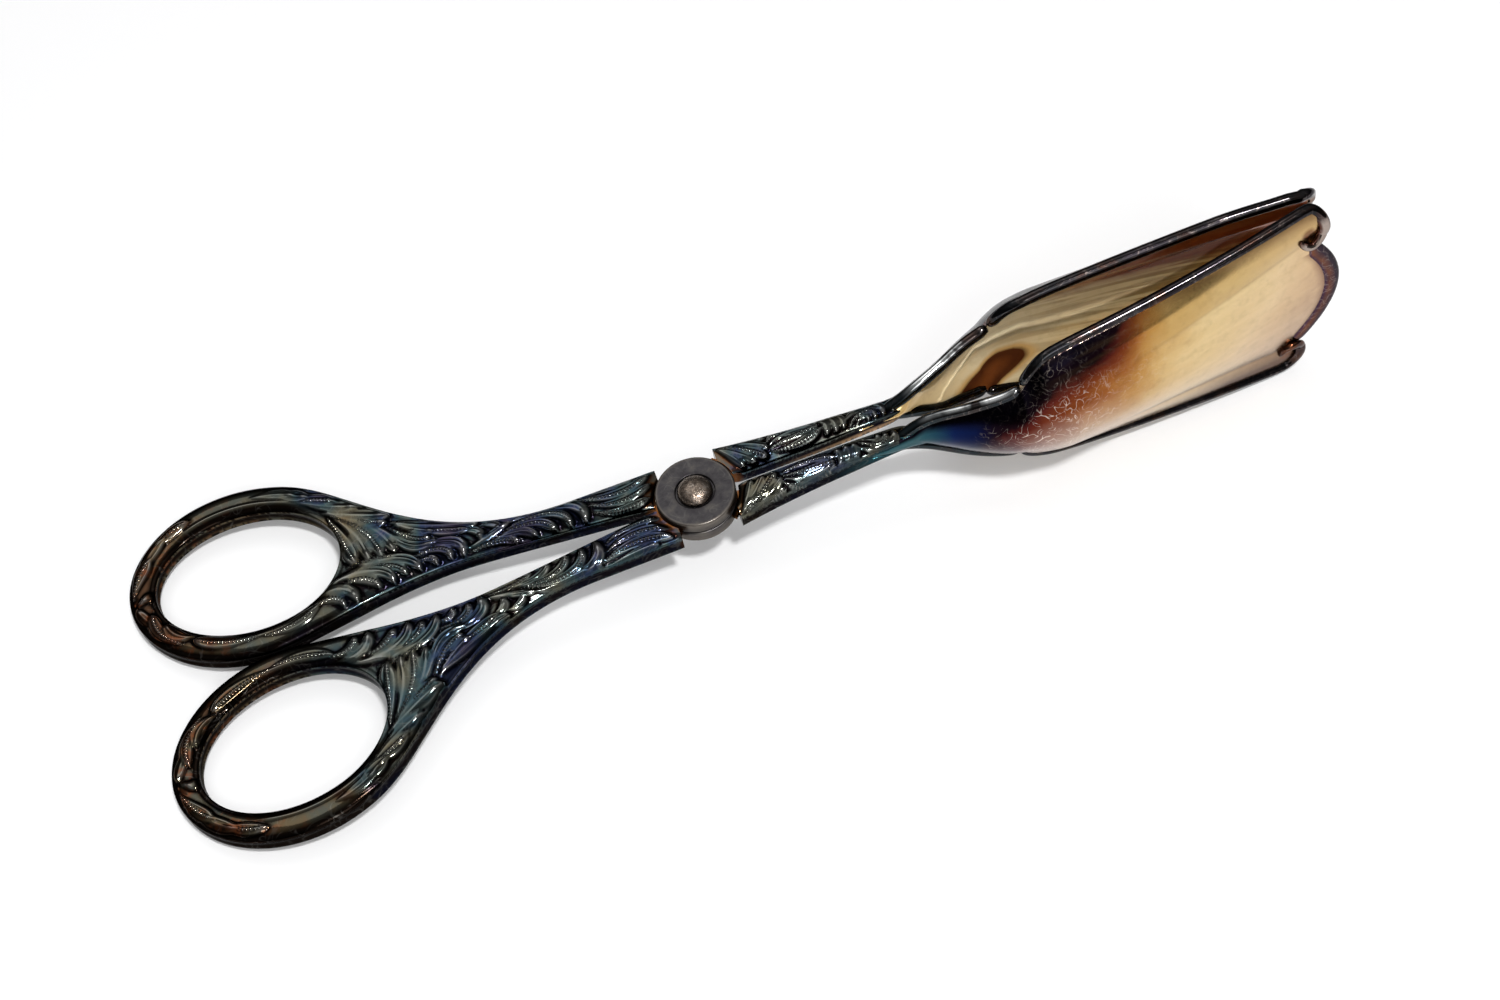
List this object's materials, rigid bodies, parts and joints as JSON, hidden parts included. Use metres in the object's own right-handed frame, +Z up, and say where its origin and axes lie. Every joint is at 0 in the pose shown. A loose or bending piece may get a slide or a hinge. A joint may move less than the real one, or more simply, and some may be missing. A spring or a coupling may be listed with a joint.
{
  "type": "pastry tongs",
  "caption": "Scissor-type serving tongs with oval finger rings, relief-cast shanks, a riveted lap pivot and long spoon-shaped jaws with scrolled borders.",
  "frame": {"origin": "on the table under the middle of the closed tongs, as they lie on their rings and lower jaw borders", "axes": "+X from the finger rings to the jaw tips, +Y to the left of the hand in the rings, +Z up from the table"},
  "size_m": [0.2036, 0.0646, 0.0422],
  "materials": {
    "tarnished_silver": "glossy silver plate, heavily tarnished to gunmetal with blue and purple",
    "gilt_jaw": "polished, pale gold to brown and blue-black at the neck",
    "dark_border": "glossy, tarnished black-purple and brown",
    "worn_rivet": "rubbed, brown-silver"
  },
  "bodies": {
    "lower_arm": {"left_handle": "tarnished_silver", "right_jaw": "gilt_jaw", "right_jaw_upper_neck_border": "dark_border", "right_jaw_lower_neck_border": "dark_border", "right_jaw_upper_border": "dark_border", "right_jaw_lower_border": "dark_border", "right_jaw_tip_lip": "dark_border", "pivot_rivet": "worn_rivet"},
    "upper_arm": {"right_handle": "tarnished_silver", "left_jaw": "gilt_jaw", "left_jaw_upper_neck_border": "dark_border", "left_jaw_lower_neck_border": "dark_border", "left_jaw_upper_border": "dark_border", "left_jaw_lower_border": "dark_border", "left_jaw_tip_lip": "dark_border"}
  },
  "joints": [
    {"name": "arms_pivot", "type": "hinge", "parent": "lower_arm", "child": "upper_arm", "pos_m": [-0.0107, 0, 0.01123], "axis": [-0.1003, 0, 0.995], "range_deg": [0, 66]}
  ]
}
